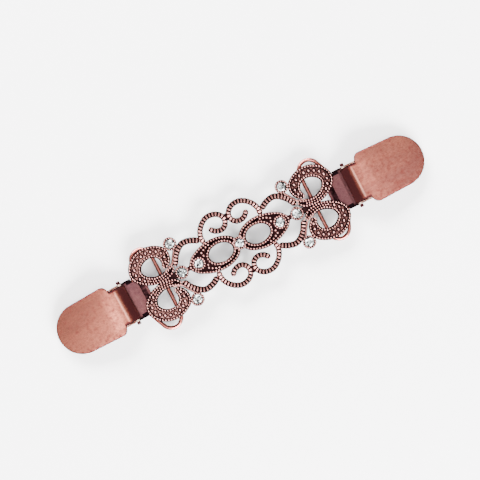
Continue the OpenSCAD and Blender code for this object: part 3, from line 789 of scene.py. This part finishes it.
# %% The lever's flat outline and its section
# Half widths of the neck and the paddle, radius of its tip, place and radius of its shoulders,
# radius of the corners under them, and depth of the turned-down rim
NECK, PADDLE, TIP, SHOULDER_X, SHOULDER_R, CORNER_R, RIM = 6.2, 9.2, 8.9, 4.4, 2.3, 0.25, 1.3
shoulder = float(np.interp(SHOULDER_X, fine_x, fine))
tip_middle = sheet_long - TIP


def arc(centre, radius, start, end, count):
    """Places on an arc, with both ends."""
    a = np.radians(np.linspace(start, end, count))
    return np.asarray(centre) + radius * np.stack([np.cos(a), np.sin(a)], 1)


half_outline = np.vstack([
    np.column_stack([np.zeros(8), np.linspace(0, NECK, 8)]),
    np.column_stack([np.linspace(0.3, shoulder - CORNER_R, 14), np.full(14, NECK)]),
    arc((shoulder - CORNER_R, NECK + CORNER_R), CORNER_R, -90, -8, 4)[1:],
    arc((shoulder + SHOULDER_R, PADDLE - SHOULDER_R), SHOULDER_R, 176, 90, 12),
    np.linspace((shoulder + SHOULDER_R + 0.5, PADDLE), (tip_middle - 0.3, TIP), 24),
    arc((tip_middle, 0), TIP, 89, 0, 30)])
outline = np.vstack([half_outline, half_outline[-2:0:-1] * [1, -1]])
# From the spine on the top, over the rim, to the spine below: distance from the edge, and depth
# below the top on the paddle and on the neck. A first number from IN_SHARES to AT_SPINE is a
# share of the way from EDGE_ZONE inside the edge to the spine.
IN_SHARES, AT_SPINE, EDGE_ZONE = 2, 3, 1.6
SECTION = np.array([
    (3.0, 0, 0), (2.8, 0, 0), (2.55, 0, 0), (2.3, 0, 0), (2.1, 0, 0), (1.35, 0, 0), (0.9, 0, 0),
    (0.55, 0, 0), (0.38, 0.02, 0), (0.25, 0.08, 0), (0.14, 0.2, 0.01), (0.06, 0.4, 0.04),
    (0.03, 0.92, 0.1), (0.0, 1.08, 0.2), (0.02, 1.22, 0.5), (0.12, RIM, 0.68), (0.5, RIM, SHEET),
    (0.66, 1.2, SHEET), (0.8, 0.98, SHEET), (1.1, 0.8, SHEET), (1.5, SHEET, SHEET), (2.3, SHEET, SHEET),
    (3.0, SHEET, SHEET)])
# Where the spine starts, and how high the paddle's middle is crowned
SPINE_START, CROWN = 1.2, 0.38
# Patina from the foot of the steep face, over the crease, to the paddle: the steep face is painted dark as
# shade, and the crease gets a painted highlight of pale bare metal. Places are counted from the top of that
# face.
FACE_PLACES = [0.6 - face_long, -0.3 * face_long, 0.35 * bend_long, 0.7 * bend_long, 1.5 * bend_long]
FACE_SHADE_AND_HIGHLIGHT = [1.3, 1.1, 0, -0.35, 0]


def sheet_surface():
    """Lever sheet: lines run from a spine on the middle line out to the outline, and the section
    is laid off along each line from its outer end. The drop blends from the neck's plain edge to
    the paddle's turned-down rim, and the paddle is crowned across by a parabola."""
    spine = np.column_stack([np.clip(outline[:, 0], SPINE_START, tip_middle), np.zeros(len(outline))])
    out = outline - spine
    total = np.linalg.norm(out, axis=1)[:, None]
    inside = SECTION[:, 0] >= IN_SHARES
    share = np.where(inside, AT_SPINE - SECTION[:, 0], 0) * (total - EDGE_ZONE) / total
    share = np.where(inside, share, 1 - SECTION[:, 0] / total)
    flat = spine[:, None] + out[:, None] * share[:, :, None]
    rim = smooth_step(shoulder - 0.1, shoulder + 1.4, outline[:, 0])[:, None]
    drop = SECTION[:, 1] * rim + SECTION[:, 2] * (1 - rim)
    beyond = smooth_step(shoulder - 1.0, shoulder + 4, flat[:, :, 0])
    crown = CROWN * (1 - (flat[:, :, 1] / PADDLE) ** 2) * beyond
    x, z = lay_on_line(flat[:, :, 0], SHEET / 2 - drop + crown)
    # The rim is painted dark as shade, and the sheet grows slightly darker towards it
    from_edge = np.where(inside, math.inf, SECTION[:, 0])
    edge = 0.9 * smooth_step(0.5, 0.22, from_edge) + 0.12 * smooth_step(2.0, 0.4, from_edge)
    # Painted shade on the steep face, and a painted highlight along the crease
    face = np.interp(flat[:, :, 0] - face_long, FACE_PLACES, FACE_SHADE_AND_HIGHLIGHT)
    return grid_shape(np.stack([x, flat[:, :, 1], z], -1), edge + face, rows_join=True)


# Patina of the curl and the lip
HINGE_DARK = 0.85


def carried_across(profile, width):
    """Closed side-view profile carried across the lever, with slightly smaller ends."""
    centre = profile.mean(0)
    rows = []
    for end, scale in ((-1, 0.96), (-0.985, 1), (0.985, 1), (1, 0.96)):
        side_view = centre + (profile - centre) * scale
        across = np.full(len(profile), end * width / 2)
        rows.append(np.column_stack([side_view[:, 0], across, side_view[:, 1]]))
    return grid_shape(with_poles(np.array(rows)), HINGE_DARK, cols_join=True)


def curl_surface():
    """Curl round the pin: outer and inner circle, each carried across the neck, and joined, with
    the outer edges cut off by `cut`."""
    cut = 0.1
    a = np.radians(np.arange(0, 360, 9))
    ring_of = lambda r, y: np.column_stack([r * np.cos(a), np.full(len(a), y), r * np.sin(a)])
    rows = [(CURL_R - SHEET, -NECK), (CURL_R - cut, -NECK), (CURL_R, -NECK + cut), (CURL_R, NECK - cut),
            (CURL_R - cut, NECK), (CURL_R - SHEET, NECK)]
    return grid_shape(np.array([ring_of(r, y) for r, y in rows]), HINGE_DARK, rows_join=True, cols_join=True)


# The biting lip on the curl: its direction, how far it reaches beyond the curl and into it, and
# its thickness
LIP_ANGLE, LIP_REACH, LIP_SUNK, LIP_THICK = math.radians(-80), 0.25, 0.3, 0.6
lip_axis = np.array([math.cos(LIP_ANGLE), math.sin(LIP_ANGLE)])
lip_side = np.array([-lip_axis[1], lip_axis[0]]) * LIP_THICK / 2
lip_root, lip_tip = lip_axis * (CURL_R - LIP_SUNK), lip_axis * (CURL_R + LIP_REACH)
lip_profile = np.array([lip_root - lip_side, lip_tip - lip_side, lip_tip + lip_side, lip_root + lip_side])
lever_shape = joined([sheet_surface(), curl_surface(), carried_across(lip_profile, 2 * NECK)])


def at_joint(shape, joint):
    """Puts a shape that is drawn round a joint at that joint: its Y lies on the joint's axis,
    and its X points outwards along the clip."""
    points, faces, shade = shape
    pin = np.array(joint["pos_m"]) / MM
    axis = np.array(joint["axis"])
    outwards, up = np.cross([0, 0, 1], axis), np.array([0, 0, 1])
    placed = pin + points[:, :1] * outwards + points[:, 1:2] * -axis + points[:, 2:] * up
    return placed, faces, shade


# %% [markdown]
# ## Brushed sheet
# The paddles were brushed and then toned: a warm copper with fine scratches and clouds of mauve brown, with
# painted shade that darkens it down at the rim. The patina group gives the depth, and a second group gives
# the scratches, on coordinates that a Mapping node stretches along the paddle.

# %% Sheet materials
# Colour of the painted highlights on the levers' creases and the ears' upper edges, given as bare metal
PAINTED_HIGHLIGHT_METAL = linear(240, 202, 184)


def brushed(name, crest, flank, recess, cloud_tone, clouds, lift, rough=0.0):
    """Antique copper with brushed scratches, clouds of a second tone on its crests, and a painted highlight
    of pale bare metal where the patina value is below 0."""
    made = copper(name, crest, flank, recess, mottle=1.5, scale=700.0, lift=lift, rough=rough,
                  bump=0.12, edge=SHEET_EDGE)
    tree = made.node_tree
    shader = tree.nodes["Principled BSDF"]
    tone = first_of(tree, "GROUP")
    place = first_of(tree, "TEX_COORD").outputs["Object"]
    stretched = node(tree, "ShaderNodeMapping", {"Vector": place, "Scale": (0.35, 1.6, 1.0)})
    brush = node(tree, "ShaderNodeGroup", node_tree=brush_group)
    tree.links.new(stretched.outputs[0], brush.inputs["Vector"])
    cloudy = ranged(tree, brush.outputs["Cloud"], 0.42, 0.68, 0.0, clouds)
    tree.links.new(mixed(tree, cloudy, crest, cloud_tone), tone.inputs["Crest"])
    streak = ranged(tree, brush.outputs["Scratch"], 0.42, 0.66, 0.0, 0.4)
    streaked = mixed(tree, streak, tone.outputs["Color"], recess)
    painted_highlight = ranged(tree, first_of(tree, "ATTRIBUTE").outputs["Fac"], 0.0, -1.0, 0.0, 1.0)
    tree.links.new(mixed(tree, painted_highlight, streaked, PAINTED_HIGHLIGHT_METAL), shader.inputs["Base Color"])
    return made


paddle_copper = brushed("paddle_copper", linear(228, 137, 113), linear(124, 62, 54), linear(62, 29, 30),
                        linear(146, 88, 84), clouds=0.7, lift=0.16, rough=0.02)
body_copper = brushed("body_copper", linear(105, 66, 66), linear(84, 50, 54), linear(12, 5, 7),
                      linear(84, 54, 60), clouds=0.6, lift=0.12, rough=0.06)
for side in ("left", "right"):
    lever = make_piece("paddle_" + side, at_joint(lever_shape, joints[side + "_lever_open"]),
                       side + "_lever", paddle_copper, sharp=60)
    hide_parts("lever_" + side)

# %% [markdown]
# ## Clip bodies and pins
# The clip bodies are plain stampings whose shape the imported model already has. Sharp computed
# edges would look false, so each is copied, its triangles are merged, and a Bevel modifier
# rounds the edges as tumbling does.

# %% Rounded copies of CAD nodes
# Half the width of the end plate, the height that only its top is above, how far out from the pin
# the ears start, and the height that the jaw plate is below
END_HALF, END_TOP, EAR_BACK, JAW_TOP = 5.6, 2.6, -0.8, 1.0
# Upward part of a face's normal from which it counts as facing up
FACES_UP = 0.3
# Patina of clean sheet, of painted half shade, and of a painted highlight of pale bare metal
CLEAN, PAINTED_HALF_SHADE, PAINTED_BARE_HIGHLIGHT = 0.0, 0.6, -1.0


def face_patina_and_shade(b, joint):
    """Patina of each face of a clip body, which paints its light and shade: clean on top of the end plate
    and on the jaw plate, a painted highlight of bare metal on the ears' upper edges, painted black shade on
    what else faces up above the jaw, and painted half shade elsewhere. Cuts along both sides of the plate
    part its top from the folds beside it."""
    layer = b.faces.layers.float.new("patina")
    pin = np.array(joint["pos_m"])
    axis = np.array(joint["axis"])
    for side in (-1, 1):
        bmesh.ops.bisect_plane(b, geom=b.verts[:] + b.edges[:] + b.faces[:], dist=1e-6,
                               plane_co=pin + axis * side * END_HALF * MM, plane_no=axis)
    for face in b.faces:
        centre = np.array(face.calc_center_median())
        inside = abs((centre - pin) @ axis) < END_HALF * MM
        along = (centre - pin) @ np.cross([0, 0, 1], axis)
        if inside and centre[2] > END_TOP * MM:
            face[layer] = CLEAN
        elif face.normal.z > FACES_UP and centre[2] > JAW_TOP * MM:
            face[layer] = BLACK_PATINA_AND_SHADE if inside or along < EAR_BACK * MM else PAINTED_BARE_HIGHLIGHT
        elif along > 0 and centre[2] < JAW_TOP * MM:
            face[layer] = CLEAN
        else:
            face[layer] = PAINTED_HALF_SHADE


def rounded_copy(node_name, name, body, material, width, joint=None):
    """Copy of a CAD node with merged points, and with edges bevelled to a width in millimetres."""
    piece = in_scene(name, frame["nodes"][node_name].data.copy())
    b = bmesh.new()
    b.from_mesh(piece.data)
    bmesh.ops.remove_doubles(b, verts=b.verts, dist=2e-6)
    bmesh.ops.dissolve_limit(b, angle_limit=math.radians(2), verts=b.verts, edges=b.edges)
    bmesh.ops.recalc_face_normals(b, faces=b.faces)
    if joint:
        face_patina_and_shade(b, joint)
    b.to_mesh(piece.data)
    b.free()
    piece.data.materials.clear()
    piece.data.materials.append(material)
    piece.data.shade_smooth()
    piece.data.set_sharp_from_angle(angle=math.radians(35))
    bevel = piece.modifiers.new("edges", "BEVEL")
    bevel.width, bevel.segments = width * MM, 2
    bevel.limit_method, bevel.angle_limit = "ANGLE", math.radians(40)
    bevel.use_clamp_overlap = True
    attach(piece, body)
    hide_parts(node_name)
    return piece


for side in ("left", "right"):
    rounded_copy("clip_body_" + side, "clip_" + side, side + "_clip", body_copper,
                 width=0.12, joint=joints[side + "_lever_open"])
    rounded_copy("hinge_pin_" + side, "pin_" + side, side + "_clip", pin_copper, width=0.15)

# %% [markdown]
# ## Table, light and camera
# The clip lies on a plain white surface under soft studio light. The room is bright overhead and
# dimmer near the horizon. Flat metal mirrors the light and looks bright, and steep metal mirrors
# the room and looks dark, as it does in a light tent. A small soft box above gives glints, and two
# wide ones beside the table light the paper.

# %% Floor
FLOOR_HALF = 1.5
floor_corners = [(x * FLOOR_HALF, y * FLOOR_HALF, 0) for x, y in ((-1, -1), (1, -1), (1, 1), (-1, 1))]
floor_mesh = bpy.data.meshes.new("floor")
floor_mesh.from_pydata(floor_corners, [], [(0, 1, 2, 3)])
floor = in_scene("floor", floor_mesh)
floor_paper, paper_tree, paper_shader = new_material("floor_paper")
paper_place = node(paper_tree, "ShaderNodeTexCoord").outputs["Object"]
paper_noise = node(paper_tree, "ShaderNodeTexNoise", {"Vector": paper_place, "Scale": 400.0})
paper_tone = mixed(paper_tree, paper_noise.outputs[0], linear(246, 245, 246), linear(243, 242, 243))
paper_tree.links.new(paper_tone, paper_shader.inputs["Base Color"])
paper_shader.inputs["Roughness"].default_value = 0.8
floor_mesh.materials.append(floor_paper)

# %% Light
# Direction of the brightest part of the room
BRIGHTEST = (0.08, -0.33, 0.941)
world = bpy.data.worlds.new("studio")
bpy.context.scene.world = world
world.use_nodes = True
sky = world.node_tree
direction = node(sky, "ShaderNodeTexCoord").outputs["Generated"]
aimed = node(sky, "ShaderNodeVectorMath", {0: direction, 1: BRIGHTEST}, operation="DOT_PRODUCT")
towards = aimed.outputs["Value"]
wide_glow = ranged(sky, towards, 0.0, 1.0, 0.16, 0.36)
near_glow = ranged(sky, towards, 0.78, 0.97, 0.0, 2.0)
background = sky.nodes["Background"]
sky.links.new(maths(sky, wide_glow, near_glow), background.inputs["Strength"])
background.inputs["Color"].default_value = (1.0, 0.99, 0.985, 1)


def soft_box(name, place, width, height, power):
    """Rectangular area light, in metres and watts, that looks at the middle of the table."""
    lamp = bpy.data.lights.new(name, "AREA")
    lamp.shape, lamp.size, lamp.size_y, lamp.energy = "RECTANGLE", width, height, power
    box = in_scene(name, lamp)
    box.location = place
    box.rotation_euler = (-box.location).to_track_quat("-Z", "Y").to_euler()
    box.visible_camera = False


soft_box("soft_key", (-0.09, -0.17, 0.7), 0.12, 0.16, 1.7)
soft_box("soft_near", (0, -0.85, 0.45), 0.9, 0.4, 85.0)
soft_box("soft_far", (0, 0.85, 0.45), 0.9, 0.4, 70.0)

# %% Camera
# Width of the picture, size of its pixels on the ornament, turn of the ornament's long axis, and
# place of its centre stone
PHOTO_PIXELS, PIXEL_MM, AXIS_TURN = 480, 0.3425, math.radians(27.1)
CENTRE_STONE_PIXEL = (239.55, 242.95)
# Height of the camera over the ornament's face and of that face over the table, and the sensor
CAMERA_HEIGHT, ORNAMENT_Z, SENSOR = 900.0, 4.0, 36.0
turn_c, turn_s = math.cos(AXIS_TURN), math.sin(AXIS_TURN)
image_right, image_up = np.array([turn_c, -turn_s]), np.array([turn_s, turn_c])
aim = PIXEL_MM * ((PHOTO_PIXELS / 2 - CENTRE_STONE_PIXEL[0]) * image_right
                  + (CENTRE_STONE_PIXEL[1] - PHOTO_PIXELS / 2) * image_up)
camera_data = bpy.data.cameras.new("camera")
camera_data.sensor_width = SENSOR
camera_data.lens = SENSOR * CAMERA_HEIGHT / (PHOTO_PIXELS * PIXEL_MM)
camera_data.clip_start, camera_data.clip_end = 0.05, 10.0
camera = in_scene("camera", camera_data)
camera.location = (aim[0] * MM, aim[1] * MM, (CAMERA_HEIGHT + ORNAMENT_Z) * MM)
camera.rotation_euler = (0, 0, -AXIS_TURN)
bpy.context.scene.camera = camera
